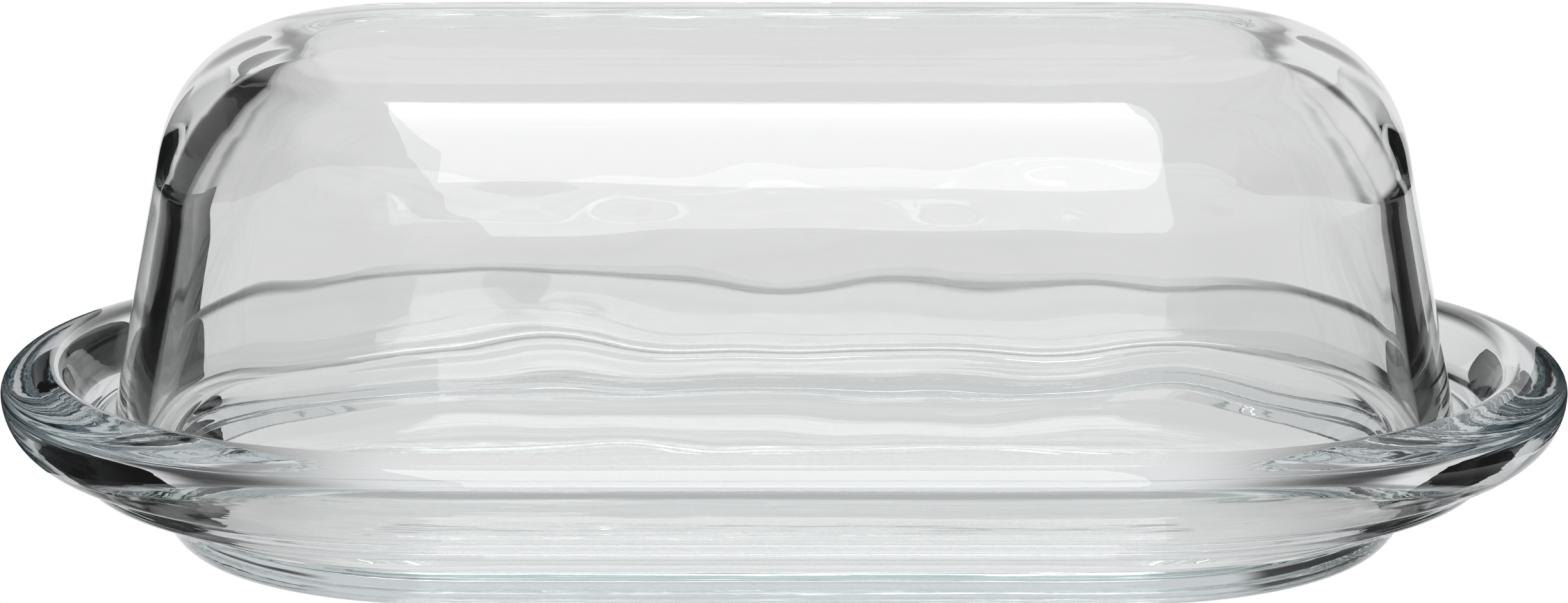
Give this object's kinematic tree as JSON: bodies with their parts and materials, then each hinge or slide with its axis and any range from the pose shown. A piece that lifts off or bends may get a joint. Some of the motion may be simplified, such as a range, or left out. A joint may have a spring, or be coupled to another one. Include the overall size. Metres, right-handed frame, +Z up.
{
  "type": "butter dish",
  "caption": "Clear pressed-glass butter dish: a long oval dish with a wide rounded rim and stepped foot, and a domed cover that lifts off.",
  "frame": {"origin": "centre of the foot's underside, on the table", "axes": "+X along the dish's length, +Y across it towards the back, +Z up, the way the cover lifts"},
  "size_m": [0.19, 0.11, 0.0615],
  "materials": {
    "dish_glass": "clear pressed glass, fire polished, faint grey-blue tint",
    "cover_glass": "clear pressed glass, fire polished, slightly wavy"
  },
  "bodies": {
    "dish": {"dish": "dish_glass"},
    "cover": {"cover": "cover_glass"}
  },
  "joints": [
    {"name": "cover_lift", "type": "slide", "parent": "dish", "child": "cover", "axis": [0, 0, 1], "range_m": [0, 0.09]}
  ]
}
